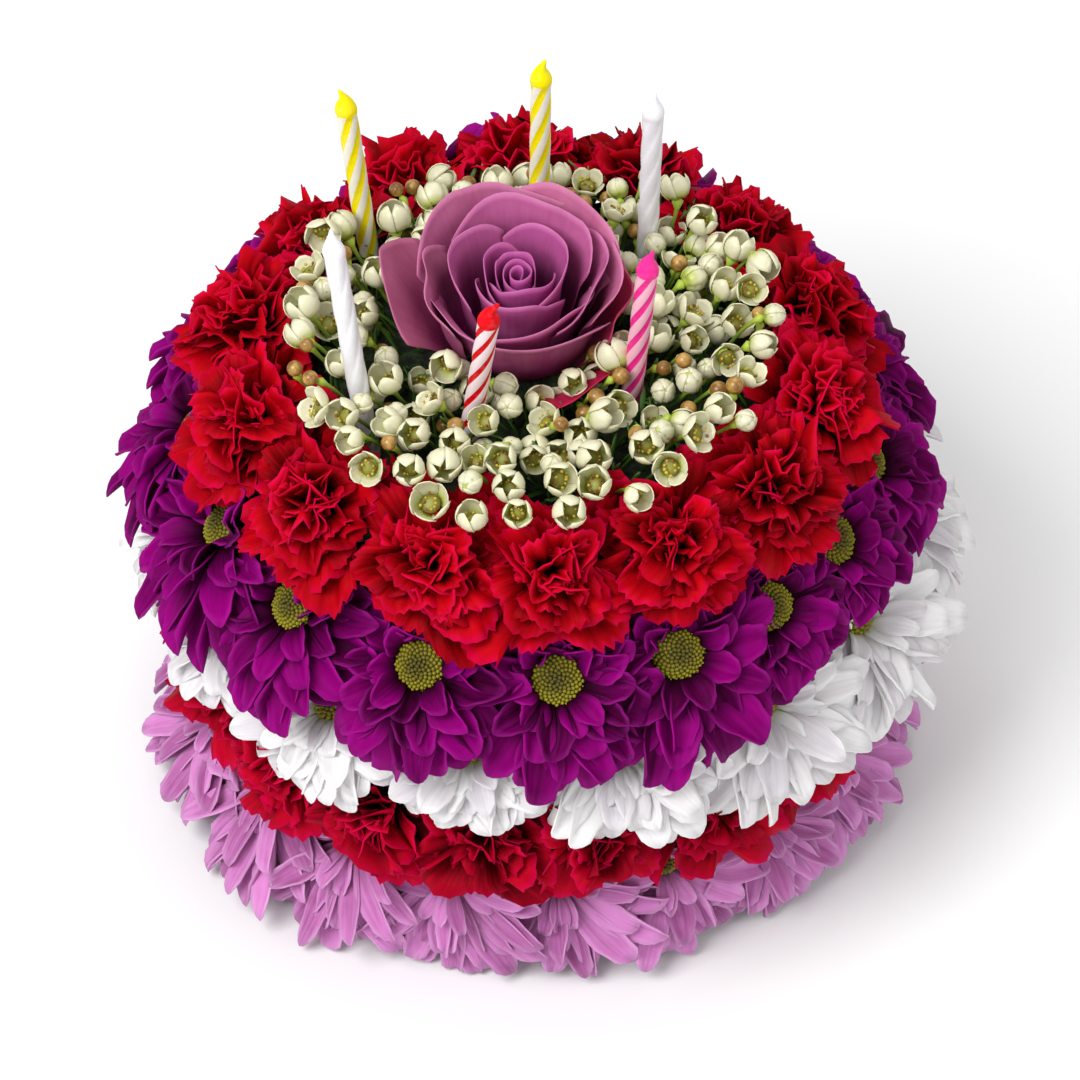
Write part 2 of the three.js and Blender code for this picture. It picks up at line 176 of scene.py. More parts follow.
class Ring:
    """A ring of flowers. The middle of a flower's face has a radius, a height and a tip, the angle by
    which the face turns up from facing outwards, each given in front and at the sides and back. lap is
    the slope at which a flower's right side rises over the left side of the next one, droop how far its
    lower petals hang back, sunk how much lower the ring lies behind, and drawn how much it narrows there."""

    def __init__(self, azimuths, radius, height, tip, shift_x=0, lap=0, droop=0, sunk=0, drawn=0):
        self.azimuths = [math.radians(azimuth) for azimuth in azimuths]
        self.radius, self.height, self.tip = radius, height, tip
        self.shift_x, self.lap, self.droop, self.sunk, self.drawn = shift_x, lap, droop, sunk, drawn

    def seat(self, azimuth):
        side = math.sin(azimuth) ** 2 if math.cos(azimuth) > 0 else 1
        behind = max(0, -math.cos(azimuth))
        inwards = (0.5 * self.sunk + self.drawn * math.sin(azimuth) ** 2) * behind
        height = lerp(*self.height, side) - self.sunk * behind
        return lerp(*self.radius, side) - inwards, height, math.radians(lerp(*self.tip, side))

    def face(self, azimuth):
        """What places a flower's points: spot() for the flower at this azimuth."""
        return lambda along, up, out: self.spot(azimuth, along, up, out)

    def spot(self, azimuth, along, up, out):
        """A point of a flower: along the ring, up the slope of its face and out from the face. Petals
        that would go under the floor bend out along it."""
        radius, _, tip = self.seat(azimuth)
        angle = along / max(20, radius - up * math.sin(tip) + out * math.cos(tip))
        lifted = out + self.lap * radius * angle - self.droop * min(0, up / 28) ** 2
        radius, height, tip = self.seat(azimuth + angle)
        away = radius - up * math.sin(tip) + lifted * math.cos(tip)
        level = height + up * math.cos(tip) + lifted * math.sin(tip)
        if level < FLOOR_BEND:
            room = FLOOR_BEND - FLOOR_GAP
            level = FLOOR_GAP + room * math.exp((level - FLOOR_BEND) / room)
        x = self.shift_x + away * math.sin(azimuth + angle)
        return Vector((x, -away * math.cos(azimuth + angle), level)) * MM


def new_bloom():
    bloom = bmesh.new()
    bloom.loops.layers.uv.new("UVMap")
    bloom.verts.layers.float.new("shade")
    return bloom


def gather(flower, ring):
    """Adds a finished flower to its ring's mesh. Building them one by one keeps this quick."""
    mesh = bpy.data.meshes.new("flower")
    flower.to_mesh(mesh)
    ring.from_mesh(mesh)
    flower.free()
    bpy.data.meshes.remove(mesh)


def lay_grid(bloom, columns, rows, shade):
    """Lays a flat grid and goes through its corners, to be placed one by one: each with where it lies
    across the grid, from -1 to 1, and how far along it, from 0 to 1."""
    made = bmesh.ops.create_grid(bloom, x_segments=columns, y_segments=rows, size=1, calc_uvs=True)
    tone = bloom.verts.layers.float["shade"]
    for corner in made["verts"]:
        corner[tone] = shade
        yield corner, corner.co.x, (corner.co.y + 1) / 2


def lay_petal(bloom, spot, angle, root, length, width, lift, curl, form):
    """Bends a flat grid into one petal. spot(along, up, out) places its points in the flower, angle is
    where it points, root its distance from the middle, lift its slope there and curl how far it bends
    down. form is how much narrower the tip is, how far its corners are cut back and how deep its cup is."""
    taper, blunt, cup = form
    shade = chance.random()
    roll = math.radians(chance.gauss(0, 16))
    sweep = chance.uniform(-0.1, 0.1)
    cup *= chance.uniform(0.3, 1.5)
    hook = math.radians(chance.gauss(10, 22))
    crease = chance.uniform(0.25, 0.6)
    for corner, across, far in lay_grid(bloom, 6, 7, shade):
        girth = 0.34 + 0.66 * math.sin(min(1, far / 0.66) * math.pi / 2)
        half = width / 2 * (girth * (1 - taper * smooth(0.62, 1, far)))
        reached = far - blunt * across**2 * smooth(0.4, 1, far)
        ended = lift - curl * reached
        heading = ended + hook * smooth(0.55, 1, reached)
        bow = curl if abs(curl) > 0.01 else 0.01
        bend, start = length / bow, ended + bow * reached
        run = bend * (math.sin(start) - math.sin(ended))
        rise = bend * (math.cos(ended) - math.cos(start))
        rise += 0.5 * length * math.sin(hook) * max(0, reached - 0.55) ** 1.5
        grooves = crease * math.cos(across * 4.6) * smooth(0, 0.3, far)
        proud = cup * half * across**2 * (0.4 + 0.6 * far) - grooves
        turn = roll * far
        aside = across * half * math.cos(turn) - proud * math.sin(turn) + sweep * length * far**2
        proud = across * half * math.sin(turn) + proud * math.cos(turn)
        away = root + run - proud * math.sin(heading)
        out = rise + proud * math.cos(heading)
        along = away * math.cos(angle) - aside * math.sin(angle)
        up = away * math.sin(angle) + aside * math.cos(angle)
        corner.co = spot(along, up, out)


def lay_daisy(ring, spot, disc, layers, squeeze, hang, form, reach, broad):
    """One daisy's petals. A layer is a count, a length, a width, a lift and a curl in degrees, from the
    back to the front. squeeze is the share by which the ring above shortens the petals that point up to
    it, hang how far the others swing down towards the ring below, reach scales their length and broad
    adds to those that point down aslant."""
    bloom = new_bloom()
    for level, (count, length, width, lift, curl) in enumerate(layers):
        for k in range(count):
            angle = (k + 0.5 * level + chance.uniform(-0.25, 0.25)) * TURN / count
            angle -= hang * math.cos(angle)
            upward = max(0, math.sin(angle)) ** 1.5
            aside = math.cos(angle) ** 4
            aslant = math.sin(2 * angle) ** 2 * (math.sin(angle) < 0)
            shortened = (1 - squeeze * upward) * (1 - 0.18 * aside) * (1 + broad * aslant)
            pushed_up = 65 * squeeze * upward + 8 * aside * (angle < 1)
            lay_petal(
                bloom,
                spot,
                angle,
                root=disc * 0.85,
                length=vary(length * reach, 0.1) * shortened,
                width=vary(width, 0.16),
                lift=math.radians(min(MOST_LIFT, chance.gauss(lift, 6) + pushed_up)),
                curl=math.radians(chance.gauss(curl, 9)),
                form=form,
            )
    gather(bloom, ring)


def lay_disc(ring, spot, disc, florets):
    """A daisy's domed disc: small round florets in a spiral over a low dome."""
    heads = new_bloom()
    tone = heads.verts.layers.float["shade"]

    def dome(radius):
        return 2.6 * (1 - (radius / disc) ** 2)

    core = bmesh.ops.create_uvsphere(heads, u_segments=16, v_segments=8, radius=1)
    for corner in core["verts"]:
        x, y, z = corner.co * disc
        corner.co = spot(x, y, 0.4 * z - 0.5)
        corner[tone] = 0.1
    for k in range(florets):
        radius = disc * math.sqrt((k + 0.5) / florets)
        angle = k * GOLDEN_ANGLE
        size = 1.08 * disc / math.sqrt(florets)
        floret = bmesh.ops.create_icosphere(heads, subdivisions=1, radius=size)
        for corner in floret["verts"]:
            x, y, z = corner.co
            x, y = x + radius * math.cos(angle), y + radius * math.sin(angle)
            corner.co = spot(x, y, 1.3 * z + dome(radius))
            corner[tone] = 0.25 + 0.75 * radius / disc
    gather(heads, ring)


def petal_paint(deep, main, pale, foot, shaded, rim, vein=0.5):
    """Paints daisy petals: streaks, paler rims and a darker foot that reaches shaded of the way up. The
    paler rims are partly the petals' own paler edges and partly a painted highlight, the darker foot partly
    the petals' own base colour and partly painted shade where they overlap round the disc. rim is how much
    paler the rims are and vein how deep the grooves look."""

    def paint(wires):
        across, far, shade = wires.petal()
        streak = wires.streaks(across, far * 1.3, shade, count=9)
        blotch = wires.noise(140)
        tint = (shade * 0.45 + streak * 0.55 + blotch * 0.3).between(0.25, 0.95)
        side = wires.maths("ABSOLUTE", across * 2 - 1)
        edge = (side**7 + far**9).between(0.1, 1.3)
        # paler rims and tips: partly the petals' own paler edges, partly a painted highlight
        colour = (edge * rim).blend(tint.blend(deep, main), pale)
        # darker foot: partly the petals' own base colour, partly painted shade where the petals overlap at
        # the disc
        colour = far.between(0.02, shaded).blend(foot, colour)
        return {"Base Color": colour, "Normal": wires.bump(streak, 0.0006 * vein)}

    return paint


def set_piece(name, bloom, finish, nodes=(), thickness=0.35):
    """Makes a bmesh a piece of the cake: smooth, riding on its body and standing for its CAD nodes."""
    mesh = bpy.data.meshes.new(name)
    for face in bloom.faces:
        face.smooth = True
    bloom.to_mesh(mesh)
    bloom.free()
    made = bpy.data.objects.new(name, mesh)
    bpy.context.scene.collection.objects.link(made)
    mesh.materials.append(finish)
    if thickness:
        wall = made.modifiers.new("petal_thickness", "SOLIDIFY")
        wall.thickness = thickness * MM
        wall.offset = 0
    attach(made, "root")
    if nodes:
        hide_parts(*nodes)


def paint_disc(wires):
    speckle = wires.noise(900, 1)
    ripeness = (wires.shade() + (speckle - 0.5) * 0.5).between(0, 1.1)
    stops = [(0, (0.05, 0.045, 0.0)), (0.45, (0.12, 0.1, 0.002)), (1, (0.33, 0.29, 0.006))]
    return {"Base Color": wires.node("ValToRGB", {0: ripeness}, stops=stops)}


disc_finish = new_finish("disc_florets", paint_disc, Roughness=0.6)

LAVENDER = Ring(spaced([4.4], 18), radius=(74.5, 75.5), height=(28.5, 27), tip=(12, 42), lap=0.17)
LAVENDER_DISC = 4
LAVENDER_LAYERS = [(16, 24, 7.6, -5, 6), (14, 23.5, 7.2, 4, 8), (11, 19, 6.4, 16, 18), (6, 10.5, 5, 55, 60)]
LAVENDER_FORM = (0.24, 0.13, 0.7)

lavender_bloom, lavender_heads = new_bloom(), new_bloom()
for azimuth in LAVENDER.azimuths:
    spot = LAVENDER.face(azimuth)
    wider = 0.14 * max(0, math.cos(azimuth + 0.75)) ** 4 + 0.12 * max(0, math.sin(azimuth)) ** 8
    lay_daisy(
        lavender_bloom, spot, LAVENDER_DISC, LAVENDER_LAYERS,
        squeeze=0.9, hang=0.7, form=LAVENDER_FORM, reach=1 + wider, broad=0.12,
    )
    lay_disc(lavender_heads, spot, LAVENDER_DISC, florets=60)
# deep and main tones; pale rims, partly a painted highlight; a darker foot, partly the petals' own colour
# and partly painted shade round the disc
LAVENDER_COLOURS = (0.3, 0.075, 0.23), (0.66, 0.25, 0.57), (0.82, 0.54, 0.8), (0.3, 0.09, 0.22)
lavender_finish = new_finish(
    "lavender_petals",
    petal_paint(*LAVENDER_COLOURS, shaded=0.5, rim=0.3, vein=1),
    Roughness=0.6,
    Specular_IOR_Level=0.07,
    Subsurface_Weight=0.15,
    Subsurface_Radius=(1.0, 0.6, 0.9),
    Subsurface_Scale=0.0015,
)
set_piece("lavender_daisies", lavender_bloom, lavender_finish, ["lavender_daisy_ring"])
set_piece("lavender_daisy_discs", lavender_heads, disc_finish, thickness=0)

# ----------------------------------------------------------------------------------
# Lower carnations: a band of crimson carnations between the lavender and the white daisies. Each is
# a dome of broad petals, ruffled and toothed along their rims, that press into the flowers beside.


def lay_frill(bloom, spot, facing, share, width, brim, size, grid):
    """One carnation petal: a fan that rises from the cup and spreads, more so the further out it grows.
    share is 0 in the middle of the flower and 1 at its outermost petals, brim how high those lie."""
    tip_run = size * vary(21 * share**0.9, 0.16) + (1 - share) ** 2 * chance.uniform(-5, 4)
    tip_rise = vary(15 - share - (14 - brim) * share**2.2, 0.16)
    tip_rise += chance.uniform(-1, 1) * (2 + 8 * share * (1 - share))
    knee_run, knee_rise = 0.3 * tip_run, 0.8 * tip_rise + 2.5 * (1 - share)
    waves = [(chance.uniform(3, 5.5), 1), (chance.uniform(7, 11), 0.35), (chance.uniform(14, 18), 0.1)]
    waves = [(rate, height, chance.uniform(0, TURN)) for rate, height in waves]
    depth = chance.uniform(1.8, 3.6) * (1 - 0.2 * share)
    fold = (1 - share) * chance.uniform(-4, 8) + share * chance.uniform(-2, 2)
    tilt, yaw = chance.uniform(-0.18, 0.18), chance.gauss(0, 0.22)
    teeth = [chance.uniform(0, 0.07) * (column % 2) for column in range(grid[0] + 1)]
    for corner, across, far in lay_grid(bloom, *grid, chance.random()):
        tooth = teeth[round((across + 1) * grid[0] / 2)] if far > 0.99 else 0
        reached = far * (1 - 0.16 * across**2 + tilt * across) - tooth
        start, knee, end = (1 - reached) ** 2, 2 * reached * (1 - reached), reached**2
        run = 0.8 * start + knee_run * knee + tip_run * end
        rise = -4 * start + knee_rise * knee + tip_rise * end
        slope = math.atan2(
            2 * (1 - reached) * (knee_rise + 4) + 2 * reached * (tip_rise - knee_rise),
            2 * (1 - reached) * (knee_run - 0.8) + 2 * reached * (tip_run - knee_run),
        )
        half = width / 2 * (0.1 + 0.9 * far**1.15)
        ruffle = sum(height * math.sin(across * rate + phase) for rate, height, phase in waves)
        proud = depth * far**1.6 * ruffle + fold * across**2 * far
        run -= proud * math.sin(slope)
        rise += proud * math.cos(slope)
        aside = across * half
        wrap = aside / max(abs(run), 8)
        turned = facing + wrap + yaw * far
        away_x = run * math.cos(turned) - (aside - run * wrap) * math.sin(turned)
        away_y = run * math.sin(turned) + (aside - run * wrap) * math.cos(turned)
        corner.co = spot(away_x, away_y, rise)


def lay_carnation(ring, spot, room, brim, size, petals, grid):
    """One carnation. room is half the distance between two of them, which presses their sides flat and
    lets their petals out into the corners between them. size is 1 for a flower 43 mm wide."""

    def pressed(along, up, out):
        beyond = max(0, abs(along) - 0.85 * room)
        corner = abs(along * up) / (along**2 + up**2 + 1)
        along, up = along * (1 + 0.7 * corner), up * (1 + 0.5 * corner)
        return spot(math.copysign(abs(along) - 0.5 * beyond, along), up, out)

    bloom = new_bloom()
    spin = chance.random() * TURN
    for k in range(petals):
        share = ((k + 0.5) / petals) ** 0.75
        facing = spin + k * GOLDEN_ANGLE + chance.uniform(-0.4, 0.4)
        lay_frill(bloom, pressed, facing, share, vary(lerp(9, 15.5, share), 0.2), brim, size, grid)
    gather(bloom, ring)


def frill_paint(deep, main, pale):
    """Paints carnation petals: darker towards the heart, which is painted shade, with paler toothed rims, a
    painted pinkish sheen, and fine streaks.
    """

    def paint(wires):
        across, far, shade = wires.petal()
        streak = wires.streaks(across, far * 2, shade, count=22)
        blotch = wires.noise(60)
        # darker towards the heart: painted shade deep in the flower, varied by random streaks and blotches
        tint = far * 0.85 + shade * 0.3 + (streak - 0.5) * 0.35 + (blotch - 0.5) * 0.5
        colour = tint.between(0.42, 1.15).blend(deep, main)
        # paler rims on some petals: a painted pinkish sheen
        colour = (far.between(0.9, 1.02) * (shade * 0.6)).blend(colour, pale)
        return {"Base Color": colour, "Normal": wires.bump(streak, 0.0003)}

    return paint


chance.seed(12)
LOWER_CARNATION = Ring(spaced([-8], 18), radius=(71.5, 73.5), height=(48, 47.5), tip=(14, 16))
lower_bloom = new_bloom()
for azimuth in LOWER_CARNATION.azimuths:
    spot = LOWER_CARNATION.face(azimuth)
    lay_carnation(lower_bloom, spot, room=13, brim=7, size=0.9, petals=28, grid=(14, 5))
crimson_finish = new_finish(
    "crimson_petals",
    # deep: painted shade towards the hearts; main; pale: a painted pinkish sheen on the rims
    frill_paint((0.03, 0.0, 0.001), (0.46, 0.0, 0.016), (0.66, 0.002, 0.09)),
    Roughness=0.6,
    Specular_IOR_Level=0.04,
)
set_piece("lower_carnations", lower_bloom, crimson_finish, ["lower_carnation_ring"])

# ----------------------------------------------------------------------------------
# White daisies: spray chrysanthemums with dense white petals, some spoon-shaped and some pointed,
# pinned so that they hang over the crimson band.

chance.seed(13)
WHITE = Ring(
    spaced([13], 14), radius=(78, 82.5), height=(82, 79), tip=(27, 40), shift_x=2.5, lap=0.15, droop=1
)
WHITE_DISC = 5
WHITE_LAYERS = [(18, 28, 10, -2, 10), (17, 27, 9.4, 12, 15), (13, 21, 8, 30, 24), (9, 13, 6, 62, 60)]
WHITE_FORM = (0.28, 0.13, 0.35)
WHITE_REACH = [0.79, 0.9, 0.92, *7 * [0.86], 0.74, 0.66, 0.73, 0.62]
# deep and main tones; pale rims, partly a painted highlight; a greenish foot, partly the petals' own base
# colour and partly painted shade round the disc
WHITE_COLOURS = (0.6, 0.56, 0.6), (0.84, 0.83, 0.83), (0.88, 0.88, 0.86), (0.52, 0.54, 0.38)

white_finish = new_finish(
    "white_petals",
    petal_paint(*WHITE_COLOURS, shaded=0.4, rim=0.3),
    Roughness=0.6,
    Specular_IOR_Level=0.07,
    Subsurface_Weight=0.2,
    Subsurface_Radius=(1.0, 0.95, 0.9),
    Subsurface_Scale=0.0015,
)
white_heads = new_bloom()
for index, (azimuth, reach) in enumerate(zip(WHITE.azimuths, WHITE_REACH), 1):
    spot = WHITE.face(azimuth)
    bloom = new_bloom()
    lay_daisy(
        bloom, spot, WHITE_DISC, WHITE_LAYERS,
        squeeze=0.6, hang=0.4, form=WHITE_FORM, reach=reach, broad=0.18,
    )
    lay_disc(white_heads, spot, WHITE_DISC, florets=60)
    node = f"white_daisy_{index:02d}"
    set_piece(node + "_petals", bloom, white_finish, [node])
set_piece("white_daisy_discs", white_heads, disc_finish, thickness=0)

# ----------------------------------------------------------------------------------
# Purple daisies: large daisies with broad magenta-purple petals round a yellow-green disc, whose
# front petals curl up against the carnations above.

chance.seed(14)
PURPLE = Ring(
    spaced([-66, -44.5, -19.4, 4, 25.2, 43.5, 62, 81], 16),
    radius=(77.5, 79), height=(106, 109), tip=(40, 48), lap=0.15, droop=3,
)
PURPLE_DISC = 6.5
PURPLE_LAYERS = [(16, 26.5, 10, -6, 12), (14, 24, 9.6, 10, 18), (12, 18, 8.6, 32, 30), (7, 12, 7, 66, 62)]
PURPLE_FORM = (0.3, 0.12, 0.75)
PURPLE_REACH = [1.06, 0.91, 0.87, 0.86, 0.92, 0.66, 0.64, 0.82, 0.86, 0.84, 0.9, 1, *3 * [0.9], 1.02]
PURPLE_STANDING = {11: 12, 12: 26}  # degrees by which the petals of two flowers behind stand up
# deep and main tones; pale rims, partly a painted highlight; a near-black foot, painted shade round the disc
PURPLE_COLOURS = (0.03, 0.0, 0.014), (0.26, 0.0, 0.16), (0.46, 0.016, 0.34), (0.01, 0.0, 0.004)

purple_finish = new_finish(
    "purple_petals",
    petal_paint(*PURPLE_COLOURS, shaded=0.8, rim=0.3),
    Roughness=0.6,
    Specular_IOR_Level=0.04,
)
purple_heads = new_bloom()
for index, (azimuth, reach) in enumerate(zip(PURPLE.azimuths, PURPLE_REACH), 1):
    spot = PURPLE.face(azimuth)
    squeeze = lerp(0.62, 0.3, max(0, -math.cos(azimuth)))
    standing = PURPLE_STANDING.get(index, 0)
    layers = [(*layer[:3], min(66, layer[3] + standing), layer[4]) for layer in PURPLE_LAYERS]
    bloom = new_bloom()
    lay_daisy(
        bloom, spot, PURPLE_DISC, layers,
        squeeze=squeeze, hang=0.24, form=PURPLE_FORM, reach=reach, broad=0.06,
    )
    lay_disc(purple_heads, spot, PURPLE_DISC, florets=150)
    node = f"purple_daisy_{index:02d}"
    set_piece(node + "_petals", bloom, purple_finish, [node])
set_piece("purple_daisy_discs", purple_heads, disc_finish, thickness=0)

# ----------------------------------------------------------------------------------
# Top carnations: a ring of scarlet carnations round the top edge, tipped half up, that hides the
# slant of the foam and holds in the waxflowers.

chance.seed(15)
TOP_CARNATION = Ring(
    spaced([-46, -19, 3.5, 28, 52, 76], 14), radius=(64, 64.5), height=(127.5, 128), tip=(48, 52),
    sunk=4, drawn=12,
)
scarlet_finish = new_finish(
    "scarlet_petals",
    # deep: painted shade towards the hearts; main; pale: a painted pinkish sheen on the rims
    frill_paint((0.025, 0.0, 0.0), (0.47, 0.0, 0.006), (0.68, 0.002, 0.08)),
    Roughness=0.6,
    Specular_IOR_Level=0.04,
)
for index, azimuth in enumerate(TOP_CARNATION.azimuths, 1):
    spot = TOP_CARNATION.face(azimuth)
    bloom = new_bloom()
    lay_carnation(bloom, spot, room=17.5, brim=5, size=0.92, petals=48, grid=(16, 6))
    node = f"top_carnation_{index:02d}"
    set_piece(node + "_petals", bloom, scarlet_finish, [node])

# ----------------------------------------------------------------------------------
# Greenery behind the flowers: each flower's green cup and cut stem, that go into the foam, and rows
# of broad dark leaves pinned to the foam behind the rings, which close the gaps between them.

chance.seed(16)


def lay_tube(bloom, path, girth, sides, rings, twist=0):
    """A tube along path(share), as wide as girth(share, angle). Both ends are drawn in to a point."""
    made = bmesh.ops.create_grid(bloom, x_segments=sides, y_segments=rings, size=1, calc_uvs=True)
    for corner in made["verts"]:
        share = (corner.co.y + 1) / 2
        angle = math.pi * (corner.co.x + 1)
        ahead = (path(share + 0.02) - path(share - 0.02)).normalized()
        right = Vector((0, 1, 0)).cross(ahead).normalized()
        front = right.cross(ahead)
        away = girth(share, angle) if 0.0001 < share < 0.9999 else 0
        turned = angle + twist * share
        outwards = math.sin(turned) * right + math.cos(turned) * front
        corner.co = (path(share) + away * outwards) * MM
    bmesh.ops.remove_doubles(bloom, verts=made["verts"], dist=0.000001)


def lay_leaf(leaves, foot, ahead, side, length, width, bow):
    """A leaf from foot, pointing ahead and as wide as width along side, bent down by bow at its tip."""
    for corner, across, far in lay_grid(leaves, 4, 7, chance.random()):
        half = width / 2 * math.sin(math.pi * (0.1 + 0.88 * far)) ** 0.7
        drop = Vector((0, 0, 0.12 * width * across**2 - bow * far**2))
        corner.co = (foot + ahead * length * far + side * across * half + drop) * MM


def paint_leaves(wires):
    across, _, shade = wires.petal()
    blotch = wires.noise(120, 3)
    rib = 1 - wires.maths("ABSOLUTE", across - 0.5).between(0.0, 0.06)
    colour = (shade * 0.6 + blotch * 0.4).blend((0.008, 0.025, 0.006), (0.04, 0.1, 0.018))
    colour = rib.blend(colour, (0.09, 0.16, 0.04))
    return {"Base Color": colour, "Normal": wires.bump(blotch, 0.0006)}


# each ring with its stems' depth and its cups' radius in mm
CUPS = [
    (LAVENDER, 19, 4.5), (LOWER_CARNATION, 15, 6), (WHITE, 22, 4.5), (PURPLE, 20, 5),
    (TOP_CARNATION, 13, 6),
]
STEM_RADIUS = 2
cups = new_bloom()
for ring, depth, cup in CUPS:
    for azimuth in ring.azimuths:
        front = ring.spot(azimuth, 0, 0, -0.8) / MM
        back = ring.spot(azimuth, 0, 0, -depth) / MM
        one = new_bloom()
        lay_tube(
            one,
            path=lambda share: front.lerp(back, share),
            girth=lambda share, angle: lerp(cup, STEM_RADIUS, smooth(0, 0.6, share)),
            sides=12,
            rings=10,
        )
        gather(one, cups)
set_piece("flower_cups", cups, new_finish("cups", paint_leaves, Roughness=0.6), thickness=0)

# each row's level, number of leaves, and their length and rise towards the tip
LEAF_ROWS = [(30, 46, 20, -14), (60, 46, 20, -6), (90, 48, 22, -6), (103, 46, 20, 0), (118, 48, 15, 3)]
LEAF_WIDTH = 12
leaves = new_bloom()
for level, count, length, rise in LEAF_ROWS:
    for k in range(count):
        azimuth = (k + chance.uniform(-0.3, 0.3)) * TURN / count
        out = Vector((math.sin(azimuth), -math.cos(azimuth), 0))
        side = Vector((out.y, -out.x, chance.uniform(-0.3, 0.3))).normalized()
        foot_radius = 57 if level < 115 else 53
        ahead = (out * length + Vector((0, 0, rise + chance.uniform(-3, 3)))).normalized()
        foot = out * foot_radius + Vector((0, 0, level + chance.uniform(-3, 3)))
        size = vary(length, 0.15), vary(LEAF_WIDTH, 0.15)
        lay_leaf(leaves, foot, ahead, side, *size, bow=chance.uniform(0, 3))
leaf_finish = new_finish("dark_leaves", paint_leaves, Roughness=0.55)
set_piece("backing_leaves", leaves, leaf_finish, thickness=0.3)

# ----------------------------------------------------------------------------------
# Candles: six thin twisted birthday candles, unlit, pushed down between the waxflowers into the foam.
# Each has four rounded flutes, stripes that follow them, and a tip dipped in the stripes' wax.

CANDLE_RADIUS = 2.5
CANDLE_FOOT = 126.3
CANDLE_DIPPED = 7  # mm of its tip
# where each candle comes out of the waxflowers, and its tip
CANDLE_LINES = {
    "yellow_left": ((-39, 29, 140), (-43.5, 29, 189.5)),
    "yellow_back": ((1.5, 38, 140), (2, 38.5, 190)),
    "white_right": ((27, 27.5, 140), (27.8, 27.5, 190)),
    "white_left": ((-38.5, -28.5, 140), (-45, -20, 193)),
    "pink": ((23, -18, 140), (26.3, -19, 185)),
    "red": ((-13.8, -28, 140), (-9, -33.5, 183)),
}


def candle_line(name):
    """A candle's axis, from its foot in the foam to its tip."""
    low, tip = map(Vector, CANDLE_LINES[name])
    foot = low + (tip - low) * (CANDLE_FOOT - low.z) / (tip.z - low.z)
    return foot, tip


def lay_candle(name, pitch, bend):
    """One candle. pitch is the height in which its flutes go round once, bend how far its tip leans."""
    foot, tip = candle_line(name)
    length = (tip - foot).length

    def path(share):
        near_tip = smooth(1 - 3.5 / length, 1, share)
        return foot.lerp(tip, share) + Vector((bend * near_tip, 0, 0))

    def girth(share, angle):
        left = (1 - share) * length
        flute = 0.88 + 0.12 * abs(math.sin(2 * angle)) ** 0.7
        cone = 0.18 + 0.87 * smooth(0.5, 6.5, left)
        return CANDLE_RADIUS * lerp(cone, flute, smooth(6.5, 8.5, left))

    bloom = new_bloom()
    lay_tube(bloom, path, girth, sides=32, rings=84, twist=TURN * length / pitch)
    return bloom


def wax_paint(wax, stripe, width, dipped_from):
    """Paints a candle with four stripes that wind up it, as wide as width of the way from one to the
    next, and with a tip in the stripes' colour from the share dipped_from of its length."""

    def paint(wires):
        around, far, _ = wires.petal()
        wave = wires.maths("PINGPONG", around * 4, 0.5)
        striped = 1 - wave.between(width / 2 - 0.02, width / 2 + 0.02)
        mottle = wires.noise(500)
        dipped = (far + (mottle - 0.5) * 0.02).between(dipped_from - 0.004, dipped_from + 0.004)
        colour = wires.maths("MAXIMUM", striped, dipped).blend(wax, stripe)
        colour = ((mottle - 0.5) * 0.2).blend(colour, (0.9, 0.85, 0.85))
        return {"Base Color": colour, "Normal": wires.bump(mottle, 0.0002)}

    return paint


# each candle's pitch and bend, the slot of its wax, the colours of wax and stripes, and their width
CANDLES = {
    "yellow_left": (43, -0.9, "yellow_wax", (0.83, 0.8, 0.68), (0.86, 0.73, 0.0), 0.48),
    "yellow_back": (43, 0.9, "yellow_wax", (0.83, 0.8, 0.68), (0.86, 0.73, 0.0), 0.48),
    "white_right": (40, 0.3, "white_wax", (0.76, 0.75, 0.79), (0.82, 0.81, 0.85), 0.5),
    "white_left": (40, 0.2, "white_wax", (0.76, 0.75, 0.79), (0.82, 0.81, 0.85), 0.5),
    "pink": (34, 0.7, "pink_wax", (0.88, 0.46, 0.58), (0.84, 0.025, 0.27), 0.42),
    "red": (36, 1.6, "red_wax", (0.86, 0.7, 0.74), (0.66, 0.0, 0.006), 0.36),
}
for name, (pitch, bend, slot, wax, stripe, width) in CANDLES.items():
    foot, tip = candle_line(name)
    finish = new_finish(
        "wax_" + name,
        wax_paint(wax, stripe, width, dipped_from=1 - CANDLE_DIPPED / (tip - foot).length),
        Roughness=0.45,
        Specular_IOR_Level=0.12,
        Subsurface_Weight=0.05,
        Subsurface_Radius=(1.0, 0.9, 0.8),
        Subsurface_Scale=0.0006,
    )
    node = "candle_" + name
    set_piece(node + "_wax", lay_candle(name, pitch, bend), finish, [node], thickness=0)

# ----------------------------------------------------------------------------------
# Rose: one open mauve rose, its stem pushed into the middle of the foam. Petals wind out from a tight
# bud, each cupped round the ones inside it, with its rim rolled outwards; guard petals lie outside.

chance.seed(31)
ROSE_FOOT = Vector((-3.2, 2, 127.3))
ROSE_LEAN = Matrix.Rotation(math.radians(5), 3, "X")
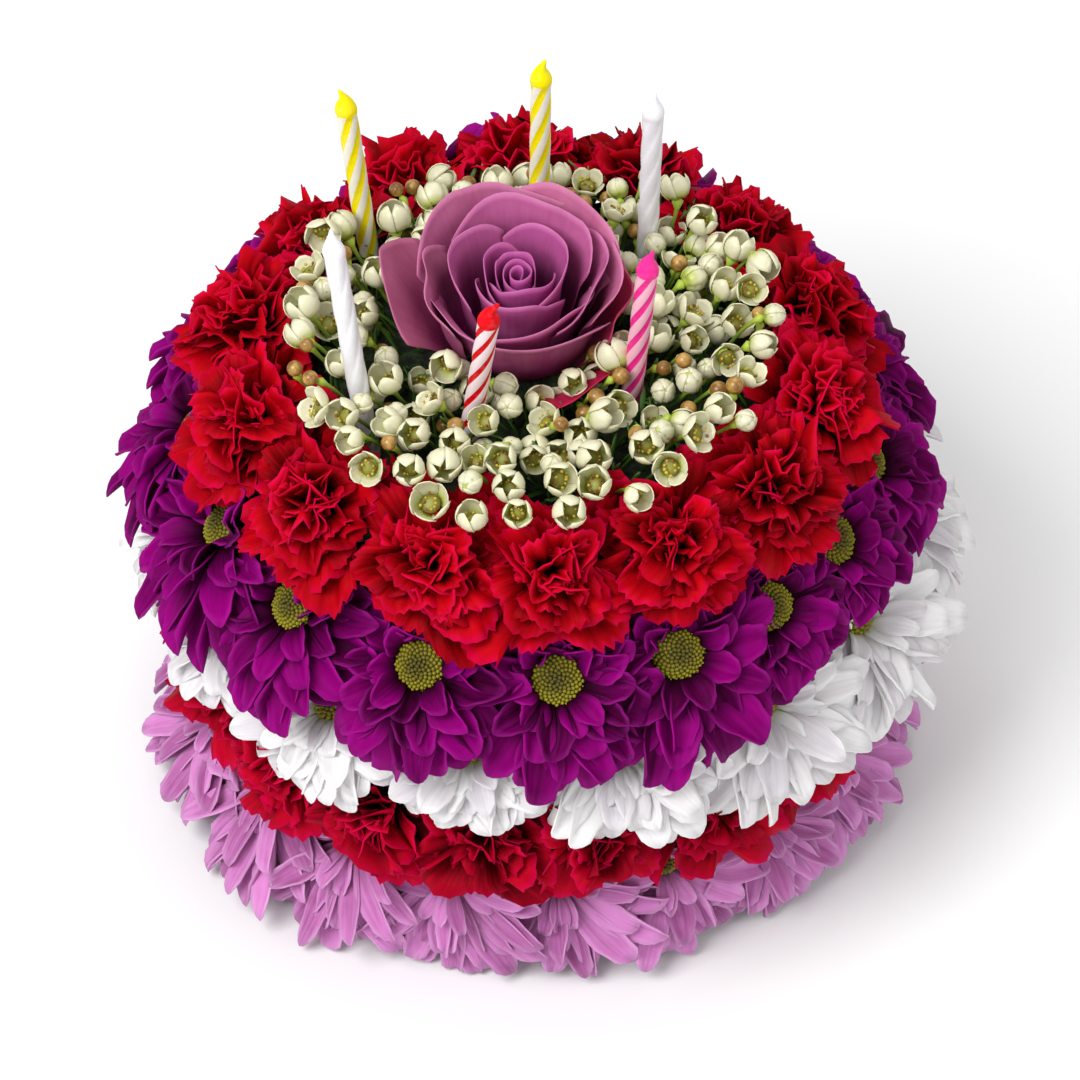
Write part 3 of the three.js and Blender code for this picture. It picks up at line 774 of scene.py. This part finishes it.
# each petal's facing and spread in degrees, then its belly, height, flare, roll, point and lap in mm,
# from the bud outwards
ROSE_PETALS = [
    (20, 860, 2.2, 33.6, 0, 0.2, 0, 1.6),
    (190, 250, 4.3, 34.8, 0.1, 0.4, 0.4, 0.7),
    (10, 190, 6.4, 34.4, 0.3, 0.5, 0, 0.8),
    (250, 160, 7, 35.8, 0.5, 0.7, 0.3, 0.8),
    (110, 175, 9.6, 37, 1.2, 1, 0.4, 1),
    (342, 165, 9.4, 34.4, 0.9, 0.9, 0.2, 1),
    (255, 120, 12.4, 38.3, 1.6, 1.4, 0.5, 1),
    (165, 150, 14.2, 39.8, 2.2, 1.6, 0.6, 1),
    (85, 115, 15.4, 37.6, 2.4, 2.1, 0.5, 1),
    (32, 112, 14.6, 34.6, 1.8, 1.8, 0.4, -1.2),
    (346, 150, 17.4, 35.2, 2.4, 3, 0.2, 1.4),
    (218, 104, 17.6, 38, 4.6, 1.6, 2.4, 1),
    (138, 100, 17.4, 38.6, 4, 2.2, 1, 1),
    (278, 80, 18, 36, 2.4, 1.8, 0.8, 1),
    (95, 85, 18.2, 36.6, 3.2, 2.2, 0.8, 1),
    (180, 90, 18.6, 36, 3, 2, 0.8, 1),
]
# each guard petal's tint, from 1 for mauve to 2 for crimson, then the same and its skew
ROSE_GUARDS = [
    (1.2, 268, 66, 19.4, 29.5, 11.5, 0.4, 9, 0.5, 0),
    (1.6, 82, 62, 19.6, 28, 5, 0.8, 3, 0.5, 0.4),
    (2, 42, 64, 19.4, 22, 9.5, 1.6, 1.5, 0.5, 0.3),
    (1.3, 225, 80, 20, 24, 5, 2, 2, 0.5, 0),
    (1.3, 140, 80, 20, 22, 5, 2, 2, 0.5, 0),
]


def lay_rose_petal(bloom, tint, facing, spread, belly, height, flare, roll, point, lap, skew=0):
    """One rose petal, part of a cup round the rose's axis. lap is how much nearer to the axis its one
    side lies, and skew is where across the petal its point comes."""
    wave, phase = chance.uniform(3, 6), chance.uniform(0, TURN)
    frill, nick = chance.uniform(0, TURN), chance.uniform(-0.7, 0.7)
    columns = max(20, int(spread / 7))
    for corner, across, far in lay_grid(bloom, columns, 16, tint):
        uneven = 0.025 * math.sin(7 * across + frill)
        uneven += 0.04 * math.exp(-((across - nick) ** 2) / 0.012)
        reached = far * (1 - 0.13 * abs(across) ** 3 - uneven * min(1, spread / 300))
        swell = 0.3 + 0.7 * math.sin(min(1, reached / 0.62) * math.pi / 2)
        lip = smooth(0.7, 1, far)
        away = belly * swell + flare * smooth(0.45, 1, reached) + roll * lip**1.5 + lap * across
        away += (0.3 + 0.035 * belly) * math.sin(wave * across + phase) * far**1.5
        peak = max(0, 1 - abs(across - skew) / (1 + abs(skew))) ** 1.5
        rise = height * reached + point * peak * smooth(0.5, 1, far) - 0.7 * roll * lip**2.5
        half = math.radians(spread / 2) * (0.55 + 0.45 * smooth(0, 0.5, reached))
        angle = math.radians(facing) + across * half
        place = Vector((away * math.sin(angle), -away * math.cos(angle), rise))
        corner.co = (ROSE_FOOT + ROSE_LEAN @ place) * MM


def paint_rose(wires):
    across, far, shade = wires.petal()
    streak = wires.streaks(across, far * 2, shade, count=26)
    blotch = wires.noise(110, 3)
    # darker towards the petals' bases: partly their own deeper colour, partly painted shade in the crevices
    tint = (far * 0.9 + (streak - 0.5) * 0.25 + (blotch - 0.5) * 0.5).between(0.22, 0.98)
    deep = shade.blend((0.06, 0.0, 0.03), (0.24, 0.012, 0.11))
    colour = tint.blend(deep, shade.blend((0.42, 0.07, 0.29), (0.5, 0.15, 0.28)))
    colour = (far.between(0.94, 1.0) * blotch * 0.3).blend(colour, (0.58, 0.26, 0.42))
    guard = (far + (blotch - 0.5) * 0.4).between(0.3, 0.8)
    colour = shade.between(1, 1.9).blend(colour, guard.blend((0.32, 0.05, 0.12), (0.46, 0.006, 0.06)))
    return {"Base Color": colour, "Normal": wires.bump(streak, 0.0002)}


rose_finish = new_finish(
    "rose_petals",
    paint_rose,
    Roughness=0.55,
    Specular_IOR_Level=0.25,
    Subsurface_Weight=0.12,
    Subsurface_Radius=(1.0, 0.4, 0.7),
    Subsurface_Scale=0.0015,
)
rose_bloom = new_bloom()
for index, petal in enumerate(ROSE_PETALS):
    lay_rose_petal(rose_bloom, min(1, 0.08 * index), *petal)
for petal in ROSE_GUARDS:
    lay_rose_petal(rose_bloom, *petal)
set_piece("rose_petals", rose_bloom, rose_finish, ["rose"], thickness=0.22)

# ----------------------------------------------------------------------------------
# Waxflowers: sprigs of waxflower pushed in round the rose and the candles, leaning out over the
# carnations: small white globes and open stars, closed buds, tan seed pearls and needle leaves.

chance.seed(44)
WAX_NEAREST, WAX_REACH = 19, (69, 48)  # radii the heads lie between, the outer one in front and behind
WAX_CROWN = 146  # level of the heads in the middle
WAX_RISE, WAX_HANG = (46, 56), (61, 70)  # radii in which they rise over the carnations and hang down
MOSS_RADIUS, MOSS_RISE, MOSS_LEVEL = 50, 9, 126.5

moss = new_bloom()
bmesh.ops.create_uvsphere(moss, u_segments=72, v_segments=36, radius=1)
for corner in moss.verts:
    x, y, z = corner.co
    lump = 1 + 0.05 * math.sin(9 * x + 4 * z) * math.sin(8 * y)
    x, y = x * MOSS_RADIUS * lump, y * MOSS_RADIUS * lump
    corner.co = Vector((x, y, MOSS_LEVEL + z * MOSS_RISE * lump)) * MM
cut = bmesh.ops.bisect_plane(
    moss,
    geom=moss.verts[:] + moss.edges[:] + moss.faces[:],
    plane_co=(0, 0, (MOSS_LEVEL - 0.1) * MM),
    plane_no=(0, 0, 1),
    clear_inner=True,
)
rim = [piece for piece in cut["geom_cut"] if isinstance(piece, bmesh.types.BMEdge)]
bmesh.ops.holes_fill(moss, edges=rim)


def paint_moss(wires):
    leafy = wires.noise(350, 4)
    colour = leafy.between(0.4, 0.75).blend((0.004, 0.009, 0.003), (0.035, 0.07, 0.015))
    return {"Base Color": colour, "Normal": wires.bump(leafy, 0.002, 1)}


set_piece("waxflower_tangle", moss, new_finish("dark_tangle", paint_moss, Roughness=0.8), thickness=0)

ROSE_CLEAR, ROSE_CLEAR_IN_FRONT, ROSE_CLEAR_UNDER_GUARD = 25.5, 20.5, 33


def rose_room(spot):
    """How far from the rose's axis a head has to stay at this spot."""
    if spot.x < -18 and abs(spot.y - ROSE_FOOT.y) < 17:
        return ROSE_CLEAR_UNDER_GUARD
    return ROSE_CLEAR_IN_FRONT if spot.y < -10 else ROSE_CLEAR


def settle(gap, taken):
    """A free spot for a flower head between the rose, the candles and the heads there are, or None."""
    azimuth = chance.uniform(0, TURN)
    limit = lerp(*WAX_REACH, 0.5 - 0.5 * math.cos(azimuth))
    radius = math.sqrt(chance.uniform(WAX_NEAREST**2, limit**2))
    over = smooth(*WAX_RISE, radius)
    level = WAX_CROWN + lerp(chance.uniform(-7, 4), 6.5 + chance.uniform(-0.5, 2.5), over)
    level -= 3 * smooth(*WAX_HANG, radius)
    spot = Vector((0.95 * radius * math.sin(azimuth), -radius * math.cos(azimuth), level))
    beside_rose = (spot - ROSE_FOOT).xy.length
    if beside_rose < rose_room(spot):
        return None
    spot.z -= 3 * smooth(0, 1, (27 - beside_rose) / 6)
    for name in CANDLE_LINES:
        foot, tip = candle_line(name)
        ahead = (tip - foot).normalized()
        along = (spot - foot).dot(ahead)
        if (spot - foot - along * ahead).length < CANDLE_RADIUS + 0.45 * gap:
            return None
    if any((spot - other).length < (gap + room) / 2 for other, room in taken):
        return None
    taken.append((spot, gap))
    return spot


def lean(spot, spread):
    """Which way a head at spot faces: up and outwards, at random within spread."""
    wild = Vector([chance.gauss(0, spread) for _ in range(3)])
    return (Vector((spot.x * 0.014, spot.y * 0.014 - 0.1, 1)) + wild).normalized()


WAX_STEM_RADIUS = 0.45


def lay_stem(stems, spot, facing, neck, cone):
    """A stem from the foam to a head, and the green cone that it widens into under it."""
    root = Vector((spot.x * 0.72, spot.y * 0.72, 128))
    joint = spot - facing * neck
    knee = joint - facing * 7

    def path(share):
        return (1 - share) ** 2 * root + 2 * share * (1 - share) * knee + share**2 * joint

    def girth(share, angle):
        return lerp(WAX_STEM_RADIUS, cone, smooth(0.72, 1, share))

    lay_tube(stems, path, girth, sides=6, rings=9)


def lay_globe(petals, spot, facing, size, opening):
    """A flower head of five rounded petals cupped inwards. opening is how far round their rims reach, in
    degrees from the stem: from 170 the head is a closed bud."""
    closed = opening >= 170
    cut_back, narrowing = (0.05, 0) if closed else (0.22, 0.1)
    turned = facing.to_track_quat("Z", "Y").to_matrix()
    spin = chance.random() * TURN
    for k in range(5):
        shade = chance.random()
        rim = min(176, opening + chance.gauss(0, 7))
        for corner, across, far in lay_grid(petals, 4, 5, shade):
            polar = math.radians(lerp(32, rim * (1 - cut_back * across**2), far))
            angle = spin + (k + (0.62 - narrowing * far**2) * across) * TURN / 5
            away = size * (1 + 0.05 * across + 0.12 * far * smooth(125, 90, opening))
            x, y = math.sin(polar) * math.cos(angle), math.sin(polar) * math.sin(angle)
            corner.co = (spot + turned @ (Vector((x, y, -math.cos(polar))) * away)) * MM


def lay_heart(hearts, spot, facing, size):
    """What shows in an open head: an olive dish with a rim of ten stamens round it."""
    turned = facing.to_track_quat("Z", "Y").to_matrix()
    tone = hearts.verts.layers.float["shade"]
    dish = bmesh.ops.create_icosphere(hearts, subdivisions=2, radius=0.55 * size)
    for corner in dish["verts"]:
        corner[tone] = 0.5 * min(1, corner.co.xy.length / (0.5 * size))
        squashed = Vector((corner.co.x, corner.co.y, 0.4 * corner.co.z - 0.5 * size))
        corner.co = (spot + turned @ squashed) * MM
    for k in range(10):
        angle = (k + chance.uniform(-0.4, 0.4)) * TURN / 10
        stamen = bmesh.ops.create_icosphere(hearts, subdivisions=1, radius=vary(0.1, 0.3) * size)
        away, proud = vary(0.42, 0.25) * size, chance.uniform(-0.3, -0.05) * size
        centre = Vector((away * math.cos(angle), away * math.sin(angle), proud))
        tint = chance.choice((0.75, 1, 1))
        for corner in stamen["verts"]:
            corner[tone] = tint
            corner.co = (spot + turned @ (corner.co + centre)) * MM


def lay_ball(bloom, spot, radius, subdivisions):
    ball = bmesh.ops.create_icosphere(bloom, subdivisions=subdivisions, radius=radius)
    for corner in ball["verts"]:
        corner.co = (corner.co + spot) * MM


# each kind's number of heads, the room and the size of one in mm
WAX_HEADS = {
    "star": (22, 7.8, 3.9),
    "globe": (84, 6.9, 3.7),
    "bud": (46, 5.2, 2.7),
    "pearl": (40, 4.6, 1.9),
}
MOST_TRIES = 8000
wax_petals, wax_hearts, wax_stems, wax_pearls, wax_leaves = [new_bloom() for _ in range(5)]
taken = []
for kind, (count, gap, usual) in WAX_HEADS.items():
    laid = tries = 0
    while laid < count and tries < MOST_TRIES:
        tries += 1
        spot = settle(gap, taken)
        if spot is None:
            continue
        laid += 1
        facing = lean(spot, 0.5)
        size = vary(usual, 0.12)
        one = new_bloom()
        if kind == "pearl":
            lay_ball(one, spot, size, subdivisions=3)
            gather(one, wax_pearls)
            lay_stem(wax_stems, spot, facing, neck=1.2, cone=1.5)
            continue
        opened = {"star": chance.uniform(92, 108), "globe": chance.uniform(122, 165), "bud": 176}
        lay_globe(one, spot, facing, size, opened[kind])
        if kind == "bud":
            lay_ball(one, spot, 0.97 * size, subdivisions=2)
        gather(one, wax_petals)
        if kind != "bud":
            centre = new_bloom()
            lay_heart(centre, spot, facing, size)
            gather(centre, wax_hearts)
        lay_stem(wax_stems, spot, facing, neck=0.62 * size, cone=0.62 * size)

NEEDLES = 420
for _ in range(NEEDLES):
    azimuth, radius = chance.uniform(0, TURN), math.sqrt(chance.uniform(22**2, 54**2))
    level = chance.uniform(131, 137)
    foot = Vector((radius * math.sin(azimuth), -radius * math.cos(azimuth), level))
    wild = Vector([chance.gauss(0, 0.5) for _ in range(3)])
    heading = (foot.normalized() * 0.4 + wild + Vector((0, 0, 0.7))).normalized()
    length, side = chance.uniform(7, 13), heading.cross(Vector((0.3, 0.2, 1))).normalized()
    for corner, across, far in lay_grid(wax_leaves, 2, 5, chance.random()):
        bow = Vector((0, 0, -0.18 * length * far**2 + 0.25 * across**2))
        half = 0.65 * math.sin(math.pi * (0.12 + 0.86 * far)) ** 0.6
        corner.co = (foot + heading * length * far + side * across * half + bow) * MM


def paint_wax_petals(wires):
    _, far, shade = wires.petal()
    blotch = wires.noise(300)
    rim = (far + (shade - 0.5) * 0.2 + (blotch - 0.5) * 0.3).between(0.0, 0.5)
    colour = rim.blend((0.42, 0.5, 0.08), (0.7, 0.68, 0.45))
    return {"Base Color": colour, "Normal": wires.bump(blotch, 0.0002)}


def paint_hearts(wires):
    speckle = wires.noise(1500)
    tint = wires.shade() + (speckle - 0.5) * 0.2
    stops = [(0, (0.24, 0.27, 0.02)), (0.3, (0.22, 0.2, 0.02)), (0.55, (0.16, 0.11, 0.015))]
    stops += [(0.8, (0.2, 0.08, 0.01)), (1, (0.5, 0.38, 0.03))]
    return {"Base Color": wires.node("ValToRGB", {0: tint}, stops=stops)}


def paint_stems(wires):
    _, far, _ = wires.petal()
    blotch = wires.noise(250)
    colour = (far + (blotch - 0.5) * 0.3).between(0.4, 1).blend((0.06, 0.15, 0.01), (0.4, 0.52, 0.05))
    return {"Base Color": colour}


def paint_pearls(wires):
    blotch = wires.noise(400, 3)
    return {"Base Color": blotch.between(0.35, 0.7).blend((0.2, 0.09, 0.015), (0.48, 0.28, 0.07))}


def paint_needles(wires):
    green = wires.shade() * 0.7 + wires.noise(200) * 0.3
    return {"Base Color": green.blend((0.012, 0.045, 0.006), (0.1, 0.24, 0.025))}


wax_finish = new_finish(
    "waxflower_petals",
    paint_wax_petals,
    Roughness=0.35,
    Subsurface_Weight=0.25,
    Subsurface_Radius=(0.9, 1.0, 0.6),
    Subsurface_Scale=0.0015,
)
set_piece("waxflower_heads", wax_petals, wax_finish, ["waxflower_heap"], thickness=0.18)
for name, bloom, paint, roughness, thickness in (
    ("hearts", wax_hearts, paint_hearts, 0.5, 0),
    ("stems", wax_stems, paint_stems, 0.5, 0),
    ("pearls", wax_pearls, paint_pearls, 0.25, 0),
    ("needles", wax_leaves, paint_needles, 0.5, 0.3),
):
    finish = new_finish(name, paint, Roughness=roughness)
    set_piece("waxflower_" + name, bloom, finish, thickness=thickness)

# ----------------------------------------------------------------------------------
# Studio: a plain pale floor, soft lights and the camera, 48 degrees up in front of the cake.

floor_bloom = new_bloom()
bmesh.ops.create_grid(floor_bloom, x_segments=1, y_segments=1, size=4, calc_uvs=True)
floor_mesh = bpy.data.meshes.new("studio_floor")
floor_bloom.to_mesh(floor_mesh)
floor_bloom.free()
floor = bpy.data.objects.new("studio_floor", floor_mesh)
bpy.context.scene.collection.objects.link(floor)


def paint_floor(wires):
    return {"Base Color": wires.noise(4).blend((0.86, 0.86, 0.86), (0.9, 0.9, 0.9))}


floor_mesh.materials.append(new_finish("studio_paper", paint_floor, Roughness=0.9))

CAKE_MIDDLE = Vector((0, 0, 0.08))


def add_softbox(name, azimuth, elevation, distance, size, power):
    """A square lamp that faces the middle of the cake, its azimuth 0 in front and 90 on the right."""
    lamp = bpy.data.lights.new(name, "AREA")
    lamp.size, lamp.energy = size, power
    softbox = bpy.data.objects.new(name, lamp)
    around, above = math.radians(azimuth), math.radians(elevation)
    level = math.cos(above)
    towards = Vector((math.sin(around) * level, -math.cos(around) * level, math.sin(above)))
    softbox.location = towards * distance + CAKE_MIDDLE
    softbox.rotation_euler = towards.to_track_quat("Z", "Y").to_euler()
    bpy.context.scene.collection.objects.link(softbox)


add_softbox("key_softbox", azimuth=-48, elevation=52, distance=1.4, size=0.8, power=18.3)
add_softbox("front_softbox", azimuth=5, elevation=25, distance=1.5, size=0.8, power=3.1)
add_softbox("side_softbox", azimuth=70, elevation=35, distance=1.6, size=1.0, power=5)
add_softbox("top_softbox", azimuth=170, elevation=70, distance=1.3, size=1.0, power=6)

world = bpy.data.worlds.new("studio")
world.use_nodes = True
sky = world.node_tree.nodes["Background"]
sky.inputs["Color"].default_value = (1, 1, 1, 1)
sky.inputs["Strength"].default_value = 0.36
bpy.context.scene.world = world
bpy.context.scene.view_settings.view_transform = "Standard"

CAMERA_ELEVATION = 48
CAMERA_DISTANCE = 1.25
CAMERA_AIM = Vector((0.0017, 0.0036, 0.0633))
CAMERA_LENS = 170.8
lens = bpy.data.cameras.new("camera")
lens.lens = CAMERA_LENS
camera = bpy.data.objects.new("camera", lens)
rise = math.radians(CAMERA_ELEVATION)
camera.location = CAMERA_AIM + CAMERA_DISTANCE * Vector((0, -math.cos(rise), math.sin(rise)))
camera.rotation_euler = (math.pi / 2 - rise, 0, 0)
bpy.context.scene.collection.objects.link(camera)
bpy.context.scene.camera = camera
